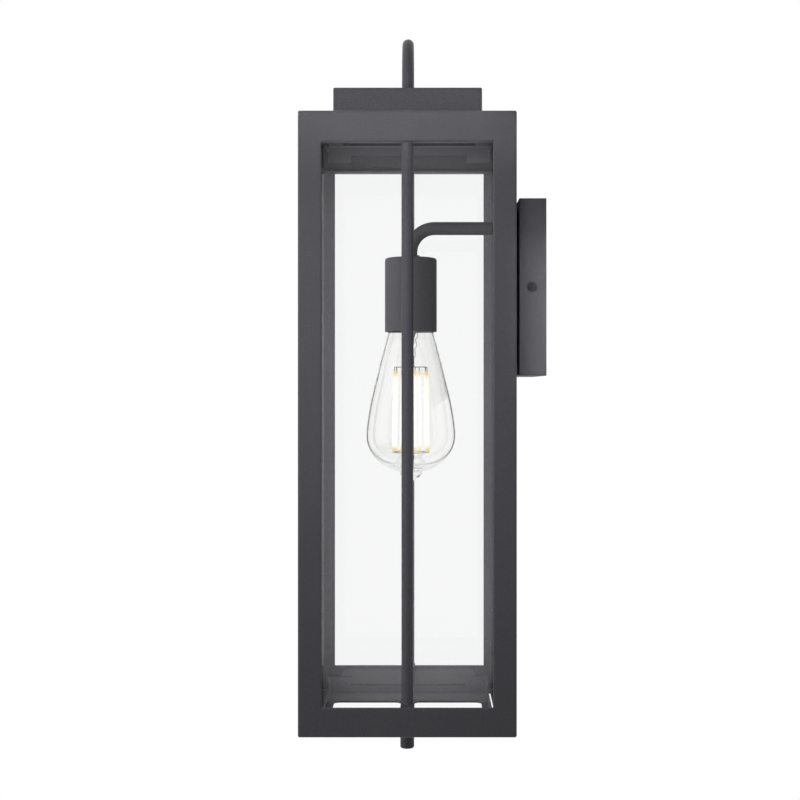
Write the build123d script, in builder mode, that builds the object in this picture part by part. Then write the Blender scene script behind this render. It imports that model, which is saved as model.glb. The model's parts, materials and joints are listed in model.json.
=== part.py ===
from build123d import *
from math import cos, radians, sin
import os

# Outdoor wall lantern: a tall square glazed frame hung off a square wall pan, with one lamp inside.
#
# Millimetres, +Z up. The wall is the plane Y = 0, the lantern stands out towards -Y, and +X is to the
# right of someone facing the wall. The origin is the centre of the wall pan on the wall plane.

os.makedirs("parts", exist_ok=True)

# ---------------------------------------------------------------- lantern frame
frame_width = 146.0  # along X
frame_depth = 146.0  # along Y
frame_height = 417.8
frame_top = 116.6  # above the centre of the wall pan
sheet = 1.5  # wall of the frame members
post_face = 15.9  # visible width of a corner post
top_rail_height = 20.6
bottom_rail_height = 19.8
corner_radius = 1.4  # outer vertical corners
rim_radius = 1.3  # outer top and bottom edges
fold_radius = 1.2  # folded edge round each side opening
top_return = 8.0  # inward return along the lower edge of the top rails
flange_under_glass = 1.5  # how far the bottom flange reaches in past the outer face of a pane
roof_sheet = 1.5

# ---------------------------------------------------------------- cap and hanging loop
cap_setback = 22.2  # edge of the frame to the cap, all round
cap_height = 20.0
cap_sheet = 1.2
cap_corner_radius = 1.4
cap_rim_radius = 0.9
handle_rod = 8.0
handle_setback = 10.8  # edge of the cap to the centre line of a leg
handle_thread = 9.0  # length of a leg below the cap's top sheet
handle_nut_flats = 13.0
handle_nut_height = 6.5

# ---------------------------------------------------------------- glazing and guard rods
glass_thickness = 2.0
glass_clearance = 0.3
rod_diameter = 7.9
rod_gap = 0.1  # guard rod to the inside of the frame
rod_glass_gap = 0.2
foot_width = 9.0
foot_sheet = 1.5
foot_drop = 12.0
retainer_sheet = 1.0
retainer_lip = 6.4
ear_width = 17.0
ear_height = 12.0

# ---------------------------------------------------------------- lift-out bottom tray and its pull
tray_sheet = 1.2
tray_lip = 6.4
tray_rear_gap = 2.4  # slit left open on the wall side
slot_side_margin = 29.5  # metal beside the two openings, along X
slot_end_margin = 5.9  # along Y
slot_bridge = 10.2  # metal between the two openings
slot_radius = 4.5
pull_diameter = 10.0
pull_length = 25.1
pull_end_radius = 1.2
pull_screw = 4.0
pull_screw_head = 7.6
pull_screw_head_height = 2.6
pull_screw_depth = 12.0
thread_clearance = 0.1

# ---------------------------------------------------------------- wall pan and mounting bracket
pan_margin = 8.55  # end of a box screw slot to the edge of the pan
pan_depth = 18.5
pan_sheet = 1.2
pan_corner_radius = 1.4
pan_rim_radius = 0.8
stand_off = 2.3  # gap between the pan and the back of the lantern frame
spacer_diameter = 22.0
bracket_sheet = 2.0
bracket_height = 26.0
bracket_ear_length = 15.0
bracket_clearance = 0.3
box_screw_spacing = 88.9
box_slot_length = 14.0
box_slot_width = 5.2
supply_hole = 10.4
ground_screw_offset = 24.0
ground_screw = 4.0
ground_screw_head = 8.0
side_screw = 4.0
side_screw_head = 7.1
side_screw_head_height = 2.4
side_screw_from_wall = 9.6
recess_length = 4.0
recess_width = 0.9
recess_depth = 1.3

# ---------------------------------------------------------------- back plate, arm and socket
back_plate_sheet = 1.5
back_plate_margin = 2.0  # above and below the pan
arm_tube = 9.4
arm_bore = 7.0
arm_from_pan_edge = 13.9
socket_offset = 1.8  # the socket hangs this much nearer the wall than the middle of the frame
arm_bend_radius = 17.0
arm_rear_end = 8.0  # wall to the open rear end of the arm
arm_hole_clearance = 0.2
arm_nut_flats = 15.0
arm_nut_height = 3.5
lower_bolt = 5.0
lower_bolt_head = 9.5
lower_bolt_head_height = 3.0
lower_nut_flats = 8.0
lower_nut_height = 4.0
lower_bolt_tail = 1.0  # thread past the nut
cup_height = 52.7
cup_below_arm = 21.4  # centre line of the arm to the top of the cup
cup_wall = 1.5
cup_edge_radius = 1.8
cup_nut_flats = 12.6
cup_nut_height = 1.8
cup_arm_entry = 6.0  # arm below the top of the cup
cup_inner_nut_height = 3.6
socket_clearance = 0.4
socket_wall = 2.85  # insulation round the screw shell
shell_sheet = 0.5
contact_diameter = 9.0
contact_sheet = 0.5
contact_rise = 1.6
contact_collar = 1.5  # insulation round the contact, in the socket and on the lamp

# ---------------------------------------------------------------- lamp with an E26 base
base_diameter = 26.0
base_running_gap = 0.35  # lamp base to the socket's screw shell, all round
base_sheet = 0.4
base_length = 23.5
base_above_cup_rim = 7.8  # lower end of the screw base, inside the cup
insulator_height = 3.2
tip_diameter = 9.0
tip_height = 1.6
tip_fit = 0.05
tip_edge_radius = 1.28
lamp_tip_gap = 0.3
glass_wall = 1.0
lamp_radius = 32.0
lamp_widest_drop = 75.0  # below the cup, as are the next three
lamp_bottom_drop = 100.8
filament_drop = 28.1
stem_drop = 18.0
bowl_sweep = 72.0  # degrees of the lower bowl, down to the shoulder of the nib
nib_flat = 0.8  # radius of the tiny flat inside the nib
lamp_mouth_gap = 0.7  # lamp to the cup, at the cup's lower edge
lamp_mouth_below_cup = 0.6
neck_overlap = 0.5  # straight neck below the lower end of the screw base
neck_in_base = 6.0
side_steps = ((0.417, 0.328), (0.638, 0.522), (0.814, 0.681), (0.942, 0.843))  # radius gained, drop
lamp_shoulder_rise = 4.6  # top of the straight cone above the mouth
nib_shoulder = 1.0  # shoulder of the nib below the bowl
nib_tip_share = 0.55
nib_tip_rise = 1.2
nib_radius = 7.8
nib_length = 5.9
filament_count = 8
filament_turn = 15.0
filament_diameter = 2.0
filament_length = 58.0
filament_ring_top = 12.0
filament_ring_bottom = 13.0
wire = 0.5
hub_diameter = 5.0
stem_shoulder = 6.0  # radius of the flare a little below the base
stem_shoulder_drop = 4.0
stem_neck = 2.6  # radius of the straight stem
stem_neck_drop = 12.0
spoke_above_filament = 3.0

# ---------------------------------------------------------------- places that follow from the sizes
pan_size = box_screw_spacing + box_slot_length + 2 * pan_margin
glass_inset = sheet + rod_gap + rod_diameter + rod_glass_gap  # outer face of the frame to a pane
bottom_flange = glass_inset + flange_under_glass
axis_y = -(pan_depth + stand_off + frame_depth / 2)
frame_rear = axis_y + frame_depth / 2
frame_front = axis_y - frame_depth / 2
frame_bottom = frame_top - frame_height
inner_width = frame_width - 2 * sheet
inner_depth = frame_depth - 2 * sheet
opening_top = frame_top - top_rail_height
opening_bottom = frame_bottom + bottom_rail_height
opening_middle = (opening_top + opening_bottom) / 2
opening_height = opening_top - opening_bottom
flange_top = frame_bottom + sheet
roof_under = frame_top - roof_sheet
glass_inner = glass_inset + glass_thickness
retainer_width = frame_width - 2 * (glass_inner + glass_clearance)
retainer_depth = frame_depth - 2 * (glass_inner + glass_clearance)
tray_front = frame_front + glass_inner + glass_clearance
tray_rear = frame_rear - bottom_flange - tray_rear_gap
tray_depth = tray_rear - tray_front
tray_y = (tray_front + tray_rear) / 2
tray_floor = frame_bottom + tray_sheet
slot_length = retainer_width - 2 * slot_side_margin
slot_width = (tray_depth - slot_bridge) / 2 - slot_end_margin
slot_offset = (slot_width + slot_bridge) / 2
cap_top = frame_top + cap_height
cap_under = cap_top - cap_sheet
cap_width = frame_width - 2 * cap_setback
cap_depth = frame_depth - 2 * cap_setback
cap_inner_width = cap_width - 2 * cap_sheet
cap_inner_depth = cap_depth - 2 * cap_sheet
handle_radius = cap_width / 2 - handle_setback
rod_centre = frame_width / 2 - sheet - rod_gap - rod_diameter / 2
rod_centre_front = frame_front + sheet + rod_gap + rod_diameter / 2
rod_bottom = opening_bottom + foot_sheet
socket_y = axis_y + socket_offset
arm_height = pan_size / 2 - arm_from_pan_edge
back_plate_height = pan_size + 2 * back_plate_margin
plate_rear = frame_rear - sheet
plate_front = plate_rear - back_plate_sheet
pan_under = -(pan_depth - pan_sheet)  # inner face of the pan's front sheet
cup_top = arm_height - cup_below_arm
cup_bottom = cup_top - cup_height
cup_under = cup_top - cup_wall
base_bottom = cup_bottom + base_above_cup_rim
base_radius = base_diameter / 2
shell_bore = base_radius + base_running_gap
shell_radius = shell_bore + shell_sheet
cup_radius = shell_radius + socket_wall + socket_clearance + cup_wall
lamp_mouth_radius = cup_radius - cup_wall - lamp_mouth_gap
lamp_widest_z = cup_bottom - lamp_widest_drop
lamp_bottom_z = cup_bottom - lamp_bottom_drop
nib_bottom_z = lamp_bottom_z - nib_length
filament_top = cup_bottom - filament_drop
stem_bottom = cup_bottom - stem_drop
base_top = base_bottom + base_length
insulator_top = base_top + insulator_height
lamp_tip_top = insulator_top + tip_height
contact_under = lamp_tip_top + lamp_tip_gap
arm_lower_end = cup_top - cup_arm_entry
shell_top = contact_under + contact_sheet + contact_rise
socket_top = cup_under - cup_inner_nut_height

lantern_axis = Plane((0, axis_y, 0))
tray_plane = Plane((0, tray_y, 0))
socket_axis = Plane((0, socket_y, 0))


def save(piece, name):
    """Label a finished piece and write it under its own name."""
    piece.label = name
    export_step(piece, f"parts/{name}.step")


# ---------------------------------------------------------------- corner posts and rails
# The welded frame is drawn whole, so that its faces run through every joint, and is then divided.
with BuildPart() as frame_shell:
    with BuildSketch(lantern_axis.offset(frame_bottom)):
        RectangleRounded(frame_width, frame_depth, corner_radius)
    extrude(amount=frame_height)
    top_face = frame_shell.faces().sort_by(Axis.Z)[-1]
    bottom_face = frame_shell.faces().sort_by(Axis.Z)[0]
    fillet(top_face.edges() + bottom_face.edges(), rim_radius)
    with BuildSketch(lantern_axis.offset(frame_bottom)):
        Rectangle(inner_width, inner_depth)
    extrude(amount=frame_height, mode=Mode.SUBTRACT)
    with BuildSketch(Plane.YZ):
        with Locations((axis_y, opening_middle)):
            Rectangle(frame_depth - 2 * post_face, opening_height)
    extrude(amount=frame_width, both=True, mode=Mode.SUBTRACT)
    with BuildSketch(Plane.XZ.offset(-axis_y)):
        with Locations((0, opening_middle)):
            Rectangle(frame_width - 2 * post_face, opening_height)
    extrude(amount=frame_depth, both=True, mode=Mode.SUBTRACT)
    for side_axis in (Axis.X, Axis.Y):
        for outermost in (0, -1):
            side_face = frame_shell.faces().sort_by(side_axis)[outermost]
            fillet(side_face.inner_wires()[0].edges(), fold_radius)

frame_middle = (frame_top + frame_bottom) / 2
for side_x, name_x in ((-1, "left"), (1, "right")):
    for side_y, name_y in ((-1, "front"), (1, "rear")):
        with BuildPart() as post:
            add(frame_shell.part)
            corner = (
                side_x * (frame_width - post_face) / 2,
                axis_y + side_y * (frame_depth - post_face) / 2,
                frame_middle,
            )
            with Locations(corner):
                Box(post_face, post_face, frame_height, mode=Mode.INTERSECT)
        save(post.part, f"post_{name_y}_{name_x}")

rail_levels = (
    ("top", opening_top, top_rail_height, opening_top, top_return),
    ("bottom", frame_bottom, bottom_rail_height, frame_bottom, bottom_flange),
)
for level, rail_base, rail_height, flange_base, flange_reach in rail_levels:
    # Front and rear rails: their flanges run the full inside width.
    for side_y, name_y in ((-1, "front"), (1, "rear")):
        with BuildPart() as cross_rail:
            add(frame_shell.part)
            middle = (0, axis_y + side_y * (frame_depth - post_face) / 2, rail_base + rail_height / 2)
            with Locations(middle):
                Box(frame_width - 2 * post_face, post_face, rail_height, mode=Mode.INTERSECT)
            with BuildSketch(lantern_axis.offset(flange_base)):
                with Locations((0, side_y * (inner_depth / 2 - (flange_reach - sheet) / 2))):
                    Rectangle(inner_width, flange_reach - sheet)
            extrude(amount=sheet)
        save(cross_rail.part, f"rail_{level}_{name_y}")
    # Side rails: their flanges fit between those of the front and rear rails.
    for side_x, name_x in ((-1, "left"), (1, "right")):
        with BuildPart() as side_rail:
            add(frame_shell.part)
            middle = (side_x * (frame_width - post_face) / 2, axis_y, rail_base + rail_height / 2)
            with Locations(middle):
                Box(post_face, frame_depth - 2 * post_face, rail_height, mode=Mode.INTERSECT)
            with BuildSketch(lantern_axis.offset(flange_base)):
                with Locations((side_x * (inner_width / 2 - (flange_reach - sheet) / 2), 0)):
                    Rectangle(flange_reach - sheet, frame_depth - 2 * flange_reach)
            extrude(amount=sheet)
        save(side_rail.part, f"rail_{level}_{name_x}")

# ---------------------------------------------------------------- roof, cap and hanging loop
with BuildPart() as roof:
    with BuildSketch(lantern_axis.offset(roof_under)):
        Rectangle(inner_width, inner_depth)
        Rectangle(cap_inner_width, cap_inner_depth, mode=Mode.SUBTRACT)
    extrude(amount=roof_sheet)
save(roof.part, "roof_plate")

with BuildPart() as cap:
    with BuildSketch(lantern_axis.offset(frame_top)):
        RectangleRounded(cap_width, cap_depth, cap_corner_radius)
    extrude(amount=cap_height)
    fillet(cap.faces().sort_by(Axis.Z)[-1].edges(), cap_rim_radius)
    with BuildSketch(lantern_axis.offset(frame_top)):
        Rectangle(cap_inner_width, cap_inner_depth)
    extrude(amount=cap_height - cap_sheet, mode=Mode.SUBTRACT)
    with BuildSketch(lantern_axis.offset(cap_under)):
        with Locations((-handle_radius, 0), (handle_radius, 0)):
            Circle(handle_rod / 2)
    extrude(amount=cap_sheet, mode=Mode.SUBTRACT)
save(cap.part, "cap")

handle_plane = Plane.XZ.offset(-axis_y)
leg_end = cap_under - handle_thread
with BuildPart() as handle:
    with BuildLine(handle_plane):
        Line((handle_radius, leg_end), (handle_radius, cap_top))
        CenterArc((0, cap_top), handle_radius, 0, 180)
        Line((-handle_radius, cap_top), (-handle_radius, leg_end))
    with BuildSketch(Plane((handle_radius, axis_y, leg_end))):
        Circle(handle_rod / 2)
    sweep()
save(handle.part, "hanging_loop")

with BuildPart() as handle_nuts:
    with BuildSketch(lantern_axis.offset(cap_under)):
        with Locations((-handle_radius, 0), (handle_radius, 0)):
            RegularPolygon(handle_nut_flats / 2, 6, major_radius=False)
            Circle(handle_rod / 2, mode=Mode.SUBTRACT)
    extrude(amount=-handle_nut_height)
save(handle_nuts.part, "hanging_loop_nuts")

# ---------------------------------------------------------------- glass panes
glass_base = flange_top
glass_height = roof_under - glass_clearance - glass_base
side_glass_front = frame_front + glass_inner + glass_clearance
side_glass_rear = frame_rear - max(top_return, sheet + back_plate_sheet) - glass_clearance
for side_x, name_x in ((-1, "left"), (1, "right")):
    with BuildPart() as side_glass:
        with BuildSketch(Plane.XY.offset(glass_base)):
            glass_x = side_x * (frame_width / 2 - glass_inset - glass_thickness / 2)
            with Locations((glass_x, (side_glass_front + side_glass_rear) / 2)):
                Rectangle(glass_thickness, side_glass_rear - side_glass_front)
        extrude(amount=glass_height)
    save(side_glass.part, f"glass_{name_x}")

with BuildPart() as front_glass:
    with BuildSketch(Plane.XY.offset(glass_base)):
        with Locations((0, frame_front + glass_inset + glass_thickness / 2)):
            Rectangle(frame_width - 2 * glass_inset, glass_thickness)
    extrude(amount=glass_height)
save(front_glass.part, "glass_front")

# ---------------------------------------------------------------- guard rods and their feet
rod_places = {
    "left": (-rod_centre, axis_y),
    "right": (rod_centre, axis_y),
    "front": (0, rod_centre_front),
}
for side, place in rod_places.items():
    with BuildPart() as rod:
        with BuildSketch(Plane.XY.offset(rod_bottom)):
            with Locations(place):
                Circle(rod_diameter / 2)
        extrude(amount=opening_top - rod_bottom)
    save(rod.part, f"guard_rod_{side}")

foot_reach = glass_inset - sheet - glass_clearance
with BuildPart() as feet:
    foot_places = (
        Plane((inner_width / 2, axis_y, rod_bottom), x_dir=(-1, 0, 0), z_dir=(0, 1, 0)),
        Plane((-inner_width / 2, axis_y, rod_bottom), x_dir=(1, 0, 0), z_dir=(0, -1, 0)),
        Plane((0, frame_front + sheet, rod_bottom), x_dir=(0, 1, 0), z_dir=(1, 0, 0)),
    )
    for foot_plane in foot_places:
        with BuildSketch(foot_plane):
            upright = -1 if foot_plane.y_dir.Z > 0 else 1
            with BuildLine():
                Polyline(
                    (0, 0),
                    (foot_reach, 0),
                    (foot_reach, upright * foot_sheet),
                    (foot_sheet, upright * foot_sheet),
                    (foot_sheet, upright * foot_drop),
                    (0, upright * foot_drop),
                    close=True,
                )
            make_face()
        extrude(amount=foot_width / 2, both=True)
save(feet.part, "guard_rod_feet")

# ---------------------------------------------------------------- upper glass retainer
with BuildPart() as retainer:
    with BuildSketch(lantern_axis.offset(roof_under)):
        Rectangle(retainer_width, retainer_depth)
    extrude(amount=-ear_height)
    with BuildSketch(lantern_axis.offset(roof_under - retainer_sheet)):
        Rectangle(retainer_width - 2 * retainer_sheet, retainer_depth - 2 * retainer_sheet)
    extrude(amount=-ear_height, mode=Mode.SUBTRACT)
    with BuildSketch(lantern_axis.offset(roof_under - retainer_lip)):
        Rectangle(retainer_width - 2 * ear_width, retainer_depth)
        Rectangle(retainer_width, retainer_depth - 2 * ear_width)
    extrude(amount=-ear_height, mode=Mode.SUBTRACT)
    with BuildSketch(lantern_axis.offset(roof_under)):
        Rectangle(cap_inner_width, cap_inner_depth)
    extrude(amount=-retainer_sheet, mode=Mode.SUBTRACT)
save(retainer.part, "glass_retainer")

# ---------------------------------------------------------------- lift-out tray with its pull
with BuildPart() as tray:
    with BuildSketch(tray_plane.offset(frame_bottom)):
        Rectangle(retainer_width, tray_depth)
    extrude(amount=ear_height + tray_sheet)
    with BuildSketch(tray_plane.offset(tray_floor)):
        Rectangle(retainer_width - 2 * tray_sheet, tray_depth - 2 * tray_sheet)
    extrude(amount=ear_height, mode=Mode.SUBTRACT)
    with BuildSketch(tray_plane.offset(frame_bottom + tray_lip)):
        Rectangle(retainer_width - 2 * ear_width, tray_depth)
        Rectangle(retainer_width, tray_depth - 2 * ear_width)
    extrude(amount=ear_height, mode=Mode.SUBTRACT)
    with BuildSketch(tray_plane.offset(frame_bottom)):
        with Locations((0, -slot_offset), (0, slot_offset)):
            RectangleRounded(slot_length, slot_width, slot_radius)
        Circle(pull_screw / 2 + thread_clearance)
    extrude(amount=tray_sheet, mode=Mode.SUBTRACT)
save(tray.part, "bottom_tray")

with BuildPart() as pull:
    with BuildSketch(tray_plane.offset(frame_bottom)):
        Circle(pull_diameter / 2)
    extrude(amount=-pull_length)
    fillet(pull.faces().sort_by(Axis.Z)[0].edges(), pull_end_radius)
    with BuildSketch(tray_plane.offset(frame_bottom)):
        Circle(pull_screw / 2)
    extrude(amount=-(pull_screw_depth + thread_clearance), mode=Mode.SUBTRACT)
save(pull.part, "bottom_pull")

with BuildPart() as pull_fixing:
    with BuildSketch(tray_plane.offset(tray_floor)):
        Circle(pull_screw_head / 2)
    extrude(amount=pull_screw_head_height)
    fillet(pull_fixing.faces().sort_by(Axis.Z)[-1].edges(), pull_screw_head_height / 2)
    with BuildSketch(tray_plane.offset(tray_floor)):
        Circle(pull_screw / 2)
    extrude(amount=-(pull_screw_depth + tray_sheet))
    with BuildSketch(tray_plane.offset(tray_floor + pull_screw_head_height)):
        Rectangle(recess_length, recess_width)
        Rectangle(recess_width, recess_length)
    extrude(amount=-recess_depth, mode=Mode.SUBTRACT)
save(pull_fixing.part, "bottom_pull_screw")

# ---------------------------------------------------------------- wall pan
arm_hole = arm_tube / 2 + arm_hole_clearance
with BuildPart() as pan:
    with BuildSketch(Plane.XZ):
        RectangleRounded(pan_size, pan_size, pan_corner_radius)
    extrude(amount=pan_depth)
    fillet(pan.faces().sort_by(Axis.Y)[0].edges(), pan_rim_radius)
    with BuildSketch(Plane.XZ):
        Rectangle(pan_size - 2 * pan_sheet, pan_size - 2 * pan_sheet)
    extrude(amount=pan_depth - pan_sheet, mode=Mode.SUBTRACT)
    with BuildSketch(Plane.XZ):
        with Locations((0, arm_height)):
            Circle(arm_hole)
        with Locations((0, -arm_height)):
            Circle(lower_bolt / 2 + thread_clearance)
    extrude(amount=pan_depth, mode=Mode.SUBTRACT)
    with BuildSketch(Plane.YZ):
        with Locations((-side_screw_from_wall, 0)):
            Circle(side_screw / 2 + thread_clearance)
    extrude(amount=pan_size, both=True, mode=Mode.SUBTRACT)
save(pan.part, "wall_pan")

# ---------------------------------------------------------------- mounting bracket behind the pan
bracket_half = pan_size / 2 - pan_sheet - bracket_clearance
with BuildPart() as bracket:
    with BuildSketch(Plane.XZ):
        Rectangle(2 * bracket_half, bracket_height)
    extrude(amount=bracket_sheet)
    with BuildSketch(Plane.XZ):
        for side_x in (-1, 1):
            with Locations((side_x * (bracket_half - bracket_sheet / 2), 0)):
                Rectangle(bracket_sheet, bracket_height)
    extrude(amount=bracket_ear_length)
    with BuildSketch(Plane.XZ):
        with Locations((-box_screw_spacing / 2, 0), (box_screw_spacing / 2, 0)):
            SlotOverall(box_slot_length, box_slot_width)
        Circle(supply_hole / 2)
        with Locations((ground_screw_offset, 0)):
            Circle(ground_screw / 2)
    extrude(amount=bracket_sheet, mode=Mode.SUBTRACT)
    with BuildSketch(Plane.YZ):
        with Locations((-side_screw_from_wall, 0)):
            Circle(side_screw / 2)
    extrude(amount=pan_size, both=True, mode=Mode.SUBTRACT)
save(bracket.part, "mounting_bracket")

screw_inner_end = bracket_half - 2 * bracket_sheet
with BuildPart() as side_screws:
    for side_x in (-1, 1):
        head_plane = Plane(
            (side_x * pan_size / 2, -side_screw_from_wall, 0), x_dir=(0, 1, 0), z_dir=(side_x, 0, 0)
        )
        with BuildSketch(head_plane):
            Circle(side_screw_head / 2)
        extrude(amount=side_screw_head_height)
        head_rim = side_screws.faces().sort_by(Axis.X)[-1 if side_x > 0 else 0].edges()
        fillet(head_rim, side_screw_head_height / 2)
        with BuildSketch(head_plane):
            Circle(side_screw / 2)
        extrude(amount=-(pan_size / 2 - screw_inner_end))
        with BuildSketch(head_plane.offset(side_screw_head_height)):
            Rectangle(recess_length, recess_width)
            Rectangle(recess_width, recess_length)
        extrude(amount=-recess_depth, mode=Mode.SUBTRACT)
save(side_screws.part, "side_screws")

with BuildPart() as ground:
    with BuildSketch(Plane.XZ.offset(bracket_sheet)):
        with Locations((ground_screw_offset, 0)):
            RegularPolygon(ground_screw_head / 2, 6, major_radius=False)
    extrude(amount=ground_screw_head / 3)
    with BuildSketch(Plane.XZ.offset(bracket_sheet)):
        with Locations((ground_screw_offset, 0)):
            Circle(ground_screw / 2)
    extrude(amount=-bracket_sheet)
save(ground.part, "ground_screw")

# ---------------------------------------------------------------- back plate and what clamps it to the pan
with BuildPart() as back_plate:
    with BuildSketch(Plane.XZ.offset(-plate_rear)):
        Rectangle(inner_width, back_plate_height)
        with Locations((0, arm_height)):
            Circle(arm_hole, mode=Mode.SUBTRACT)
        with Locations((0, -arm_height)):
            Circle(lower_bolt / 2 + thread_clearance, mode=Mode.SUBTRACT)
    extrude(amount=back_plate_sheet)
save(back_plate.part, "back_plate")

with BuildPart() as spacers:
    with BuildSketch(Plane.XZ.offset(pan_depth)):
        for height, hole in ((arm_height, arm_hole), (-arm_height, lower_bolt / 2 + thread_clearance)):
            with Locations((0, height)):
                Circle(spacer_diameter / 2)
                Circle(hole, mode=Mode.SUBTRACT)
    extrude(amount=stand_off + sheet)
save(spacers.part, "stand_off_spacers")

with BuildPart() as arm_nuts:
    for nut_plane in (Plane.XZ.offset(-pan_under), Plane.XZ.offset(-plate_front)):
        with BuildSketch(nut_plane):
            with Locations((0, arm_height)):
                RegularPolygon(arm_nut_flats / 2, 6, major_radius=False)
                Circle(arm_tube / 2, mode=Mode.SUBTRACT)
        extrude(amount=-arm_nut_height if nut_plane.origin.Y > -pan_depth else arm_nut_height)
save(arm_nuts.part, "arm_nuts")

bolt_rear_end = pan_under + lower_nut_height + lower_bolt_tail
with BuildPart() as lower_bolt_part:
    with BuildSketch(Plane.XZ.offset(-plate_front)):
        with Locations((0, -arm_height)):
            Circle(lower_bolt_head / 2)
    extrude(amount=lower_bolt_head_height)
    fillet(lower_bolt_part.faces().sort_by(Axis.Y)[0].edges(), lower_bolt_head_height / 2)
    with BuildSketch(Plane.XZ.offset(-plate_front)):
        with Locations((0, -arm_height)):
            Circle(lower_bolt / 2)
    extrude(amount=-(bolt_rear_end - plate_front))
save(lower_bolt_part.part, "lower_bolt")

with BuildPart() as lower_nut:
    with BuildSketch(Plane.XZ.offset(-pan_under)):
        with Locations((0, -arm_height)):
            RegularPolygon(lower_nut_flats / 2, 6, major_radius=False)
            Circle(lower_bolt / 2, mode=Mode.SUBTRACT)
    extrude(amount=-lower_nut_height)
save(lower_nut.part, "lower_bolt_nut")

# ---------------------------------------------------------------- socket arm
bend_y = socket_y + arm_bend_radius
bend_z = arm_height - arm_bend_radius
with BuildPart() as arm:
    with BuildLine(Plane.YZ):
        Line((-arm_rear_end, arm_height), (bend_y, arm_height))
        CenterArc((bend_y, bend_z), arm_bend_radius, 90, 90)
        Line((socket_y, bend_z), (socket_y, arm_lower_end))
    with BuildSketch(Plane.XZ.offset(arm_rear_end)):
        with Locations((0, arm_height)):
            Circle(arm_tube / 2)
            Circle(arm_bore / 2, mode=Mode.SUBTRACT)
    sweep()
save(arm.part, "socket_arm")

# ---------------------------------------------------------------- socket
with BuildPart() as cup:
    with BuildSketch(socket_axis.offset(cup_bottom)):
        Circle(cup_radius)
    extrude(amount=cup_height)
    fillet(cup.faces().sort_by(Axis.Z)[-1].edges(), cup_edge_radius)
    with BuildSketch(socket_axis.offset(cup_bottom)):
        Circle(cup_radius - cup_wall)
    extrude(amount=cup_height - cup_wall, mode=Mode.SUBTRACT)
    with BuildSketch(socket_axis.offset(cup_under)):
        Circle(arm_tube / 2)
    extrude(amount=cup_wall, mode=Mode.SUBTRACT)
save(cup.part, "socket_cup")

with BuildPart() as cup_nuts:
    for nut_base, nut_rise in ((cup_top, cup_nut_height), (cup_under, -cup_inner_nut_height)):
        with BuildSketch(socket_axis.offset(nut_base)):
            RegularPolygon(cup_nut_flats / 2, 6, major_radius=False)
            Circle(arm_tube / 2, mode=Mode.SUBTRACT)
        extrude(amount=nut_rise)
save(cup_nuts.part, "socket_cup_nuts")

with BuildPart() as socket_body:
    with BuildSketch(socket_axis.offset(base_bottom)):
        Circle(shell_radius + socket_wall)
    extrude(amount=socket_top - base_bottom)
    with BuildSketch(socket_axis.offset(base_bottom)):
        Circle(shell_radius)
    extrude(amount=shell_top - base_bottom, mode=Mode.SUBTRACT)
    with BuildSketch(socket_axis.offset(arm_lower_end)):
        Circle(arm_tube / 2)
    extrude(amount=socket_top - arm_lower_end, mode=Mode.SUBTRACT)
save(socket_body.part, "socket_body")

with BuildPart() as screw_shell:
    with BuildSketch(socket_axis.offset(shell_top)):
        Circle(shell_radius)
    extrude(amount=base_bottom - shell_top)
    with BuildSketch(socket_axis.offset(shell_top - shell_sheet)):
        Circle(shell_bore)
    extrude(amount=base_bottom - shell_top, mode=Mode.SUBTRACT)
    with BuildSketch(socket_axis.offset(shell_top)):
        Circle(contact_diameter / 2 + contact_collar)
    extrude(amount=-shell_sheet, mode=Mode.SUBTRACT)
save(screw_shell.part, "socket_screw_shell")

with BuildPart() as contact:
    with BuildSketch(socket_axis.offset(contact_under)):
        Circle(contact_diameter / 2)
    extrude(amount=contact_sheet)
    with BuildSketch(socket_axis.offset(contact_under + contact_sheet)):
        Circle(contact_diameter / 4)
    extrude(amount=shell_top - contact_under - contact_sheet)
save(contact.part, "socket_centre_contact")

# ---------------------------------------------------------------- lamp
neck_radius = base_radius - base_sheet
neck_top = base_bottom + neck_in_base


def side_line(inset):
    """Outline of the lamp's glass, a distance inside it: a shoulder below the base, then a cone to the belly."""
    mouth_z = cup_bottom - lamp_mouth_below_cup
    points = [(lamp_mouth_radius - inset, mouth_z)]
    for gained, dropped in side_steps:
        radius = lamp_mouth_radius + gained * (lamp_radius - lamp_mouth_radius)
        points.append((radius - inset, mouth_z + dropped * (lamp_widest_z - mouth_z)))
    points.append((lamp_radius - inset, lamp_widest_z))
    slope = (points[1][0] - points[0][0]) / (points[0][1] - points[1][1])
    cone = (slope, -1)
    cone_top = (lamp_mouth_radius - inset - slope * lamp_shoulder_rise, mouth_z + lamp_shoulder_rise)
    Spline(cone_top, *points, tangents=(cone, (0, -1)))
    return Spline((neck_radius - inset, base_bottom - neck_overlap), cone_top, tangents=((0, -1), cone))


def nib_line(bowl, inset, end_radius):
    """Outline of the sealed-off nib under the bowl, out to the given distance from the lamp's axis."""
    return Spline(
        bowl @ 1,
        (nib_radius - inset, lamp_bottom_z - nib_shoulder),
        ((nib_radius - inset) * nib_tip_share, nib_bottom_z + nib_tip_rise + inset),
        (end_radius, nib_bottom_z + inset),
        tangents=(bowl % 1, (-1, 0)),
    )


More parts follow.
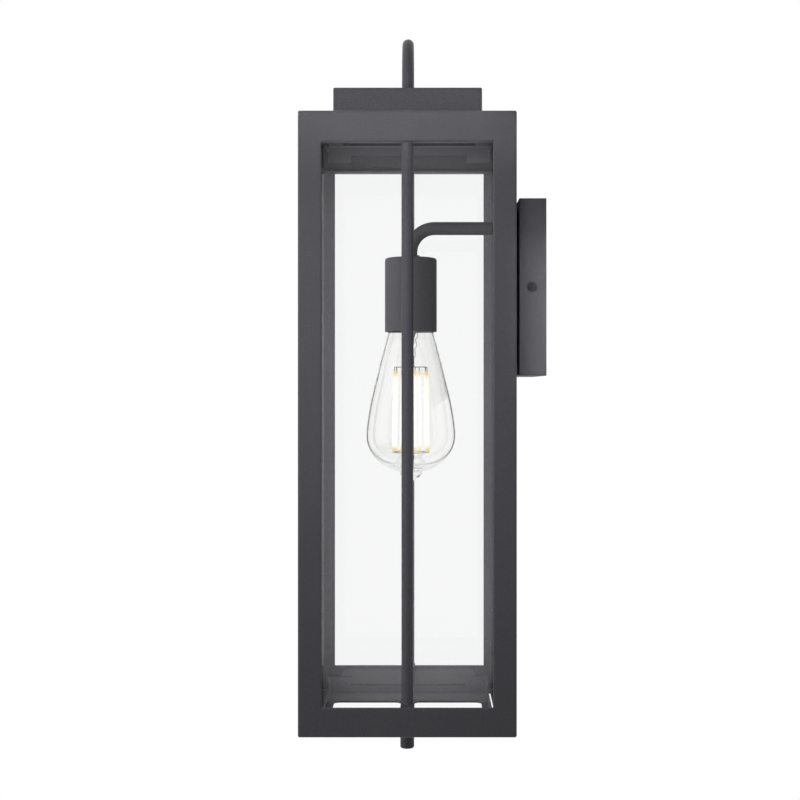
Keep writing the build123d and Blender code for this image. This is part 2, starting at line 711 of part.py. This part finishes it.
lamp_section = Plane((0, socket_y, 0), x_dir=(1, 0, 0), z_dir=(0, -1, 0))
lamp_line = Axis((0, socket_y, 0), (0, 0, 1))
belly = lamp_widest_z - lamp_bottom_z
with BuildPart() as lamp_glass:
    with BuildSketch(lamp_section):
        with BuildLine():
            outside = side_line(0)
            bowl = EllipticalCenterArc((0, lamp_widest_z), lamp_radius, belly, 0, arc_size=-bowl_sweep)
            nib = nib_line(bowl, 0, 0)
            inside = side_line(glass_wall)
            inner_bowl = EllipticalCenterArc(
                (0, lamp_widest_z), lamp_radius - glass_wall, belly - glass_wall, 0, arc_size=-bowl_sweep
            )
            inner_nib = nib_line(inner_bowl, glass_wall, nib_flat)
            Polyline(nib @ 1, (0, (inner_nib @ 1).Y), inner_nib @ 1)
            Line(outside @ 0, (neck_radius, neck_top))
            Line((neck_radius, neck_top), (neck_radius - glass_wall, neck_top))
            Line((neck_radius - glass_wall, neck_top), inside @ 0)
        make_face()
    revolve(axis=lamp_line)
save(lamp_glass.part, "lamp_glass")

with BuildPart() as stem:
    with BuildSketch(lamp_section):
        with BuildLine():
            flare = Spline(
                (neck_radius - glass_wall, neck_top),
                (stem_shoulder, base_bottom - stem_shoulder_drop),
                (stem_neck, base_bottom - stem_neck_drop),
                (stem_neck, stem_bottom),
            )
            Polyline(flare @ 1, (0, stem_bottom), (0, neck_top), flare @ 0)
        make_face()
    revolve(axis=lamp_line)
save(stem.part, "lamp_stem")

spoke_z = filament_top + spoke_above_filament
with BuildPart() as filament_wires:
    with BuildSketch(socket_axis.offset(stem_bottom)):
        Circle(hub_diameter / 2)
    extrude(amount=spoke_z - wire - stem_bottom)
    for number in range(filament_count):
        angle = filament_turn + 360 * number / filament_count
        spoke_plane = Plane((0, socket_y, spoke_z), x_dir=(cos(radians(angle)), sin(radians(angle)), 0))
        with BuildSketch(spoke_plane):
            with Locations((filament_ring_top / 2, 0)):
                Rectangle(filament_ring_top + wire, wire)
        extrude(amount=-wire)
        with BuildSketch(spoke_plane):
            with Locations((filament_ring_top, 0)):
                Rectangle(wire, wire)
        extrude(amount=filament_top - spoke_z)
    with BuildSketch(socket_axis.offset(filament_top - filament_length)):
        Circle(filament_ring_bottom + wire / 2)
        Circle(filament_ring_bottom - wire / 2, mode=Mode.SUBTRACT)
    extrude(amount=-wire)
save(filament_wires.part, "filament_wires")

with BuildPart() as filaments:
    for number in range(filament_count):
        angle = filament_turn + 360 * number / filament_count
        outward = Vector(cos(radians(angle)), sin(radians(angle)), 0)
        top_end = outward * filament_ring_top + Vector(0, socket_y, filament_top)
        bottom_end = outward * filament_ring_bottom + Vector(0, socket_y, filament_top - filament_length)
        with BuildSketch(Plane(top_end)):
            Circle(filament_diameter / 2)
        with BuildSketch(Plane(bottom_end)):
            Circle(filament_diameter / 2)
        loft()
save(filaments.part, "led_filaments")

with BuildPart() as base_shell:
    with BuildSketch(socket_axis.offset(base_bottom)):
        Circle(base_radius)
        Circle(base_radius - base_sheet, mode=Mode.SUBTRACT)
    extrude(amount=base_length)
save(base_shell.part, "lamp_base_shell")

with BuildPart() as insulator:
    with BuildSketch(socket_axis.offset(base_top)):
        Circle(base_radius)
    with BuildSketch(socket_axis.offset(insulator_top)):
        Circle(tip_diameter / 2 + contact_collar)
    loft()
    with BuildSketch(socket_axis.offset(insulator_top)):
        Circle(tip_diameter / 2 + tip_fit)
    extrude(amount=-tip_height, mode=Mode.SUBTRACT)
save(insulator.part, "lamp_base_insulator")

with BuildPart() as tip:
    with BuildSketch(socket_axis.offset(insulator_top - tip_height + tip_fit)):
        Circle(tip_diameter / 2)
    extrude(amount=2 * tip_height - tip_fit)
    fillet(tip.faces().sort_by(Axis.Z)[-1].edges(), tip_edge_radius)
save(tip.part, "lamp_tip_contact")
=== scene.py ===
import json
from math import cos, pi, radians, sin

import bmesh
import bpy
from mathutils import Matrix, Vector


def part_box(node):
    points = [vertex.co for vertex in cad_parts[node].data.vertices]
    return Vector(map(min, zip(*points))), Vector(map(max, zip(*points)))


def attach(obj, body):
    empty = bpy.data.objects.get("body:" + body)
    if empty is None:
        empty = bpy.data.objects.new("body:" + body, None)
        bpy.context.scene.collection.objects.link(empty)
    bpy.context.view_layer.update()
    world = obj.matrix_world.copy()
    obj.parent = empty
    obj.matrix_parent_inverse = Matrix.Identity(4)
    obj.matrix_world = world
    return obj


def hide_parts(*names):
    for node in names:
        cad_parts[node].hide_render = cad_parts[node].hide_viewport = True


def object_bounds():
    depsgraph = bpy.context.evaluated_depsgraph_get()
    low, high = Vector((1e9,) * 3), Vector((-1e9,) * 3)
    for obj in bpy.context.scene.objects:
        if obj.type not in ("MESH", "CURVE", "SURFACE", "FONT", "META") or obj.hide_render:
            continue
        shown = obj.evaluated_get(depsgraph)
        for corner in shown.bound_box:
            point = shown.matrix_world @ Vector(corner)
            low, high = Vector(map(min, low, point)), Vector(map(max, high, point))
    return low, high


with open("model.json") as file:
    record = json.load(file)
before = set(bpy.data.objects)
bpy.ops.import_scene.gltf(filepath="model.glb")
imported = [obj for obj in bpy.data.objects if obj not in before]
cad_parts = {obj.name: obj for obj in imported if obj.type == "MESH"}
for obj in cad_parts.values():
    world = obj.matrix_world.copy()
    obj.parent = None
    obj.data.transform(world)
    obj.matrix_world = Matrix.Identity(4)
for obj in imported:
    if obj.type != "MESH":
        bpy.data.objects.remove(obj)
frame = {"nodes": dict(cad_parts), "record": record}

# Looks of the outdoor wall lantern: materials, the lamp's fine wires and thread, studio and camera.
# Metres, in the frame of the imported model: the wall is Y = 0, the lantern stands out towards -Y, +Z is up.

cad_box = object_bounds()
scene = bpy.context.scene

# ---------------------------------------------------------------- places read from the frame
base_low, base_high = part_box("lamp_base_shell")
stem_low, stem_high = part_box("lamp_stem")
lamp_axis = Vector(((base_low.x + base_high.x) / 2, (base_low.y + base_high.y) / 2, 0))
lantern_low, lantern_high = cad_box
lantern_middle = (lantern_low + lantern_high) / 2


# ---------------------------------------------------------------- node helpers
def new_material(name):
    """An empty material with its node tree and output."""
    material = bpy.data.materials.new(name)
    material.use_nodes = True
    tree = material.node_tree
    tree.nodes.clear()
    output = tree.nodes.new("ShaderNodeOutputMaterial")
    return material, tree, output


def principled(tree, output, **values):
    """A Principled shader joined to the output, with plain values set on its own sockets."""
    shader = tree.nodes.new("ShaderNodeBsdfPrincipled")
    for socket, value in values.items():
        shader.inputs[socket.replace("_", " ")].default_value = value
    tree.links.new(shader.outputs["BSDF"], output.inputs["Surface"])
    return shader


def coordinates(tree):
    """The row frame's own coordinates, which go with a piece when its body moves."""
    return tree.nodes.new("ShaderNodeTexCoord").outputs["Object"]


def noise(tree, where, scale, detail=2.0, roughness=0.5):
    """Fractal noise with so many cells to the metre."""
    node = tree.nodes.new("ShaderNodeTexNoise")
    node.inputs["Scale"].default_value = scale
    node.inputs["Detail"].default_value = detail
    node.inputs["Roughness"].default_value = roughness
    tree.links.new(where, node.inputs["Vector"])
    return node.outputs["Fac"]


def ramp(tree, value, stops):
    """A colour ramp over (position, colour) stops."""
    node = tree.nodes.new("ShaderNodeValToRGB")
    elements = node.color_ramp.elements
    while len(elements) < len(stops):
        elements.new(0.5)
    for element, (position, colour) in zip(elements, stops):
        element.position = position
        element.color = (*colour, 1.0)
    tree.links.new(value, node.inputs["Fac"])
    return node.outputs["Color"]


def remap(tree, value, low, high, source_low=0.3, source_high=0.7):
    """A value moved from the noise's usual span to the given one."""
    node = tree.nodes.new("ShaderNodeMapRange")
    node.inputs["From Min"].default_value = source_low
    node.inputs["From Max"].default_value = source_high
    node.inputs["To Min"].default_value = low
    node.inputs["To Max"].default_value = high
    tree.links.new(value, node.inputs["Value"])
    return node.outputs["Result"]


def add(tree, first, second, share):
    """first + second * share."""
    node = tree.nodes.new("ShaderNodeMath")
    node.operation = "MULTIPLY_ADD"
    node.inputs[1].default_value = share
    tree.links.new(second, node.inputs[0])
    tree.links.new(first, node.inputs[2])
    return node.outputs["Value"]


def bump(tree, shader, height, strength, distance):
    """Relief of the shader's surface, from a height."""
    node = tree.nodes.new("ShaderNodeBump")
    node.inputs["Strength"].default_value = strength
    node.inputs["Distance"].default_value = distance
    tree.links.new(height, node.inputs["Height"])
    tree.links.new(node.outputs["Normal"], shader.inputs["Normal"])


# ---------------------------------------------------------------- materials
def powder_coat():
    """Charcoal powder coat: a very fine pebbled texture with a faint violet cast and sparse light grains."""
    material, tree, output = new_material("powder_coat")
    shader = principled(tree, output, Metallic=0.0, Specular_IOR_Level=0.28)
    where = coordinates(tree)
    grain = noise(tree, where, 1700.0, 2.0, 0.55)
    pebble = noise(tree, where, 700.0, 2.0)
    cloud = noise(tree, where, 14.0, 3.0)
    deep, charcoal, light_grain = (0.050, 0.048, 0.055), (0.061, 0.059, 0.067), (0.104, 0.102, 0.112)
    colour = ramp(tree, add(tree, grain, cloud, 0.20), ((0.38, deep), (0.64, charcoal), (0.84, light_grain)))
    tree.links.new(colour, shader.inputs["Base Color"])
    smoothest, roughest = 0.46, 0.58
    tree.links.new(remap(tree, pebble, smoothest, roughest), shader.inputs["Roughness"])
    relief = add(tree, grain, pebble, 0.8)
    bump(tree, shader, relief, strength=0.22, distance=0.00018)
    return material


def pane_glass():
    """Clear flat glass with a low mirror. It bends nothing, and its back faces only let light through."""
    glass_ior = 1.66
    strongest_mirror = 0.075
    material, tree, output = new_material("pane_glass")
    clear = tree.nodes.new("ShaderNodeBsdfTransparent")
    clear.inputs["Color"].default_value = (0.997, 0.999, 0.998, 1.0)
    mirror = tree.nodes.new("ShaderNodeBsdfGlossy")
    mirror.inputs["Color"].default_value = (1.0, 1.0, 1.0, 1.0)
    smear = noise(tree, coordinates(tree), 22.0, 4.0)
    tree.links.new(remap(tree, smear, 0.0, 0.035), mirror.inputs["Roughness"])
    fresnel = tree.nodes.new("ShaderNodeFresnel")
    fresnel.inputs["IOR"].default_value = glass_ior
    limit = tree.nodes.new("ShaderNodeMath")
    limit.operation = "MINIMUM"
    limit.inputs[1].default_value = strongest_mirror
    tree.links.new(fresnel.outputs["Fac"], limit.inputs[0])
    facing = tree.nodes.new("ShaderNodeNewGeometry")
    front_only = tree.nodes.new("ShaderNodeMath")
    front_only.operation = "SUBTRACT"
    front_only.use_clamp = True
    tree.links.new(limit.outputs["Value"], front_only.inputs[0])
    tree.links.new(facing.outputs["Backfacing"], front_only.inputs[1])
    mix = tree.nodes.new("ShaderNodeMixShader")
    tree.links.new(front_only.outputs["Value"], mix.inputs["Fac"])
    tree.links.new(clear.outputs["BSDF"], mix.inputs[1])
    tree.links.new(mirror.outputs["BSDF"], mix.inputs[2])
    tree.links.new(mix.outputs["Shader"], output.inputs["Surface"])
    return material


def lamp_glass():
    """Blown clear glass: thin, faintly uneven and bending light at its edges."""
    material, tree, output = new_material("lamp_glass")
    tint = (0.985, 0.985, 0.98, 1.0)
    shader = principled(tree, output, Base_Color=tint, Transmission_Weight=1.0, IOR=1.46)
    where = coordinates(tree)
    tree.links.new(remap(tree, noise(tree, where, 60.0, 3.0), 0.0, 0.02), shader.inputs["Roughness"])
    bump(tree, shader, noise(tree, where, 45.0, 1.0), strength=0.08, distance=0.0004)
    return material


def bare_metal(name, dark, light, roughness, streaks=(900.0, 900.0, 60.0)):
    """Bright metal with fine streaks along Z, as from drawing, rolling or plating."""
    material, tree, output = new_material(name)
    shader = principled(tree, output, Metallic=1.0)
    where = coordinates(tree)
    stretch = tree.nodes.new("ShaderNodeMapping")
    stretch.inputs["Scale"].default_value = streaks
    tree.links.new(where, stretch.inputs["Vector"])
    line = noise(tree, stretch.outputs["Vector"], 1.0, 3.0)
    patch = noise(tree, where, 90.0, 3.0)
    tree.links.new(ramp(tree, add(tree, line, patch, 0.3), ((0.45, dark), (0.8, light))),
                   shader.inputs["Base Color"])
    tree.links.new(remap(tree, patch, roughness - 0.07, roughness + 0.09), shader.inputs["Roughness"])
    bump(tree, shader, line, strength=0.12, distance=0.0001)
    return material


def moulded(name, dark, light, roughness, grain=500.0):
    """Moulded plastic or enamel with a fine mottled surface."""
    material, tree, output = new_material(name)
    shader = principled(tree, output, Metallic=0.0)
    where = coordinates(tree)
    fine = noise(tree, where, grain, 3.0)
    tree.links.new(ramp(tree, fine, ((0.35, dark), (0.7, light))), shader.inputs["Base Color"])
    tree.links.new(remap(tree, noise(tree, where, 70.0), roughness - 0.06, roughness + 0.06),
                   shader.inputs["Roughness"])
    bump(tree, shader, fine, strength=0.15, distance=0.0001)
    return material


def phosphor():
    """Filament coating: yellow at its two ends, glowing warm white between them."""
    material, tree, output = new_material("phosphor")
    shader = principled(tree, output, Roughness=0.55)
    low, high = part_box("led_filaments")
    split = tree.nodes.new("ShaderNodeSeparateXYZ")
    tree.links.new(coordinates(tree), split.inputs["Vector"])
    along = remap(tree, split.outputs["Z"], 0.0, 1.0, low.z, high.z)
    grains = noise(tree, coordinates(tree), 1500.0)
    yellow, warm = (1.0, 0.83, 0.44), (1.0, 0.95, 0.82)
    cap_end, white_start = 0.035, 0.065
    colour = ramp(tree, along, ((0.0, yellow), (cap_end, yellow), (white_start, warm),
                                (1 - white_start, warm), (1 - cap_end, yellow), (1.0, yellow)))
    tree.links.new(colour, shader.inputs["Base Color"])
    tree.links.new(colour, shader.inputs["Emission Color"])
    faint, half, full = (0.5,) * 3, (0.6,) * 3, (1.0,) * 3
    glow = ramp(tree, along, ((0.0, faint), (0.05, half), (0.12, full),
                              (0.88, full), (0.95, half), (1.0, faint)))
    strength = tree.nodes.new("ShaderNodeMath")
    strength.operation = "MULTIPLY"
    brightest = 0.85
    strength.inputs[1].default_value = brightest
    tree.links.new(glow, strength.inputs[0])
    tree.links.new(strength.outputs["Value"], shader.inputs["Emission Strength"])
    bump(tree, shader, grains, strength=0.3, distance=0.0001)
    return material


looks = {
    "powder_coat": powder_coat(),
    "pane_glass": pane_glass(),
    "lamp_glass": lamp_glass(),
    "phosphor": phosphor(),
    "zinc_steel": bare_metal("zinc_steel", (0.42, 0.43, 0.45), (0.66, 0.67, 0.69), 0.34),
    "lead_wire": bare_metal("lead_wire", (0.22, 0.20, 0.18), (0.38, 0.35, 0.31), 0.38),
    "lamp_nickel": bare_metal("lamp_nickel", (0.60, 0.58, 0.54), (0.80, 0.78, 0.74), 0.24),
    "lamp_tip": bare_metal("lamp_tip", (0.50, 0.50, 0.50), (0.68, 0.68, 0.67), 0.42),
    "socket_brass": bare_metal("socket_brass", (0.60, 0.42, 0.16), (0.80, 0.62, 0.30), 0.30),
    "black_screw": moulded("black_screw", (0.012, 0.012, 0.013), (0.030, 0.030, 0.032), 0.36),
    "green_screw": moulded("green_screw", (0.02, 0.16, 0.05), (0.04, 0.26, 0.09), 0.40),
    "socket_insulation": moulded("socket_insulation", (0.030, 0.025, 0.022), (0.060, 0.052, 0.046), 0.55),
    "lamp_insulation": moulded("lamp_insulation", (0.010, 0.010, 0.012), (0.028, 0.028, 0.032), 0.18),
}
for part in frame["record"]["subparts"]:
    mesh = frame["nodes"][part["node"]].data
    mesh.materials.clear()
    mesh.materials.append(looks[part["material_slot"]])


# ---------------------------------------------------------------- pieces with more shape than the CAD solid
def lamp_thread():
    """The lamp's rolled screw thread, in the room of the plain sleeve that the CAD model has."""
    radius = (base_high.x - base_low.x) / 2
    depth, pitch, wall = 0.00062, 0.003629, 0.00035
    around, rows = 72, 130
    height = base_high.z - base_low.z
    mesh = bmesh.new()
    skins = []
    for inset in (0.0, wall):
        grid = []
        for row in range(rows + 1):
            z = base_low.z + height * row / rows
            # The thread fades into a plain collar at either end.
            fade = min(1.0, 6 * row / rows, 6 * (rows - row) / rows)
            ring = []
            for step in range(around):
                angle = 2 * pi * step / around
                wave = 0.5 - 0.5 * cos(2 * pi * z / pitch - angle)
                r = radius - depth * wave * fade - inset
                ring.append(mesh.verts.new((lamp_axis.x + r * cos(angle), lamp_axis.y + r * sin(angle), z)))
            grid.append(ring)
        skins.append(grid)
    for index, grid in enumerate(skins):
        for lower, upper in zip(grid, grid[1:]):
            for step in range(around):
                ahead = (step + 1) % around
                face = [lower[step], lower[ahead], upper[ahead], upper[step]]
                mesh.faces.new(face if index == 0 else face[::-1])
    for row in (0, rows):
        for step in range(around):
            ahead = (step + 1) % around
            face = [skins[0][row][step], skins[1][row][step], skins[1][row][ahead], skins[0][row][ahead]]
            mesh.faces.new(face if row == 0 else face[::-1])
    data = bpy.data.meshes.new("lamp_thread")
    mesh.to_mesh(data)
    mesh.free()
    data.shade_smooth()
    data.materials.append(looks["lamp_nickel"])
    piece = bpy.data.objects.new("lamp_thread", data)
    scene.collection.objects.link(piece)
    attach(piece, "lamp")
    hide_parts("lamp_base_shell")


def lead_wire(name, points, thickness):
    """One thin wire inside the lamp, along a smooth line."""
    curve = bpy.data.curves.new(name, "CURVE")
    curve.dimensions = "3D"
    curve.bevel_depth = thickness / 2
    curve.bevel_resolution = 3
    curve.resolution_u = 8
    curve.use_fill_caps = True
    spline = curve.splines.new("NURBS")
    spline.points.add(len(points) - 1)
    for point, place in zip(spline.points, points):
        point.co = (*place, 1.0)
    spline.order_u = 4
    spline.use_endpoint_u = True
    curve.materials.append(looks["lead_wire"])
    piece = bpy.data.objects.new(name, curve)
    scene.collection.objects.link(piece)
    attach(piece, "lamp")


def neck_wires():
    """The two leads that run beside the glass stem, each with a loose curl."""
    thickness = 0.00045
    widest_curl = 0.0008
    top_reach, reach_lost = 0.0052, 0.0024
    top = stem_high.z - 0.008
    drop = top - stem_low.z
    for side, name in ((-1, "lead_left"), (1, "lead_right")):
        points = []
        steps = 24
        for step in range(steps + 1):
            share = step / steps
            curl = widest_curl * sin(pi * share)
            angle = share * 7 * pi
            reach = top_reach - reach_lost * share
            points.append((lamp_axis.x + curl * cos(angle) * side,
                           lamp_axis.y + side * reach + curl * sin(angle),
                           top - drop * share))
        lead_wire(name, points, thickness)


lamp_thread()
neck_wires()


# ---------------------------------------------------------------- studio
def area_light(name, place, target, width, height, power, spread=180):
    """A soft light that faces its target: metres, watts, and the spread of its beam in degrees."""
    light = bpy.data.lights.new(name, "AREA")
    light.shape = "RECTANGLE"
    light.size = width
    light.size_y = height
    light.energy = power
    light.spread = radians(spread)
    fixture = bpy.data.objects.new(name, light)
    fixture.visible_camera = False
    fixture.visible_glossy = False
    fixture.visible_transmission = False
    fixture.location = place
    fixture.rotation_euler = (Vector(target) - Vector(place)).to_track_quat("-Z", "Y").to_euler()
    scene.collection.objects.link(fixture)


def studio_world():
    """White all round as it is seen, greyer towards +X in mirrors; it lights from above and from -Y."""
    below, level, above = (0.03,) * 3, (0.10,) * 3, (0.22,) * 3
    white, grey = (1.0,) * 3, (0.42,) * 3
    front_share, wall_share = 1.7, 0.3
    world = bpy.data.worlds.new("studio")
    world.use_nodes = True
    scene.world = world
    tree = world.node_tree
    tree.nodes.clear()
    output = tree.nodes.new("ShaderNodeOutputWorld")
    split = tree.nodes.new("ShaderNodeSeparateXYZ")
    tree.links.new(tree.nodes.new("ShaderNodeTexCoord").outputs["Generated"], split.inputs["Vector"])
    height = remap(tree, split.outputs["Z"], 0.0, 1.0, -1.0, 1.0)
    sky = ramp(tree, height, ((0.0, below), (0.5, level), (1.0, above)))
    falling = tree.nodes.new("ShaderNodeBackground")
    tree.links.new(sky, falling.inputs["Color"])
    share = remap(tree, split.outputs["Y"], front_share, wall_share, -1.0, 1.0)
    tree.links.new(share, falling.inputs["Strength"])
    seen = tree.nodes.new("ShaderNodeBackground")
    seen.inputs["Color"].default_value = (*white, 1.0)
    mirrored = tree.nodes.new("ShaderNodeBackground")
    tree.links.new(ramp(tree, split.outputs["X"], ((0.45, white), (0.90, grey))), mirrored.inputs["Color"])
    path = tree.nodes.new("ShaderNodeLightPath")
    light = falling.outputs["Background"]
    for kind, shown in (("Is Glossy Ray", mirrored), ("Is Transmission Ray", seen), ("Is Camera Ray", seen)):
        mix = tree.nodes.new("ShaderNodeMixShader")
        tree.links.new(path.outputs[kind], mix.inputs["Fac"])
        tree.links.new(light, mix.inputs[1])
        tree.links.new(shown.outputs["Background"], mix.inputs[2])
        light = mix.outputs["Shader"]
    tree.links.new(light, output.inputs["Surface"])


def floor():
    """A plain pale disc well below the lantern, which hangs on a wall."""
    radius, drop, glow = 2.2, 0.87, 0.58
    mesh = bmesh.new()
    bmesh.ops.create_circle(mesh, cap_ends=True, segments=96, radius=radius)
    data = bpy.data.meshes.new("floor")
    mesh.to_mesh(data)
    mesh.free()
    material, tree, output = new_material("floor")
    shader = principled(tree, output, Roughness=0.8)
    tone = noise(tree, coordinates(tree), 3.0)
    tree.links.new(ramp(tree, tone, ((0.3, (0.90, 0.90, 0.90)), (0.7, (0.93, 0.93, 0.93)))),
                   shader.inputs["Base Color"])
    shader.inputs["Emission Color"].default_value = (1.0, 1.0, 1.0, 1.0)
    # The floor glows only to the eye and in mirrors, so that it stays pale and throws no light upwards.
    path = tree.nodes.new("ShaderNodeLightPath")
    eye = path.outputs["Is Camera Ray"]
    for kind in ("Is Transmission Ray", "Is Glossy Ray"):
        either = tree.nodes.new("ShaderNodeMath")
        either.operation = "MAXIMUM"
        tree.links.new(eye, either.inputs[0])
        tree.links.new(path.outputs[kind], either.inputs[1])
        eye = either.outputs["Value"]
    tree.links.new(remap(tree, eye, 0.0, glow, 0.0, 1.0), shader.inputs["Emission Strength"])
    data.materials.append(material)
    disc = bpy.data.objects.new("floor", data)
    disc.location = (0.0, lantern_middle.y, lantern_low.z - drop)
    scene.collection.objects.link(disc)


def camera():
    """The photograph's view: level, square to the lantern's right side and about a metre from its middle."""
    data = bpy.data.cameras.new("camera")
    data.sensor_width = 36.0
    data.lens = 63.2
    data.shift_x = -0.0275
    data.shift_y = -0.015
    data.clip_start = 0.02
    view = bpy.data.objects.new("camera", data)
    view.location = (1.008, -0.084, -0.0683)
    view.rotation_euler = (pi / 2, 0.0, pi / 2)
    scene.collection.objects.link(view)
    scene.camera = view


studio_world()
floor()
middle = (0.0, lantern_middle.y, 0.0)
area_light("key", place=(0.38, -0.155, 0.03), target=(0.0, -0.10, 0.03), width=0.22, height=0.22, power=0.90)
area_light("back", place=(-0.9, -0.3, 0.7), target=middle, width=0.8, height=0.8, power=2.5)
area_light("rear", place=(-0.8, 1.0, 0.3), target=middle, width=0.6, height=0.6, power=9.0)
area_light("front", place=(0.25, -1.3, 0.2), target=middle, width=0.7, height=0.7, power=12.0)
# Two narrow beams: one on the top rail, one on the side of the wall pan.
area_light("roof", place=(0.40, -0.095, 0.15), target=(0.073, -0.094, 0.112),
           width=0.16, height=0.03, power=0.014, spread=14)
area_light("pan", place=(0.40, 0.03, -0.02), target=(0.06, 0.010, -0.02),
           width=0.02, height=0.10, power=0.016, spread=13)
# The lamp's own light, gathered into one sheet behind it, on the far inside of the lantern.
area_light("inside", place=(-0.036, -0.092, -0.096), target=(-0.1, -0.092, -0.096),
           width=0.115, height=0.390, power=0.40)
camera()
scene.view_settings.view_transform = "Standard"
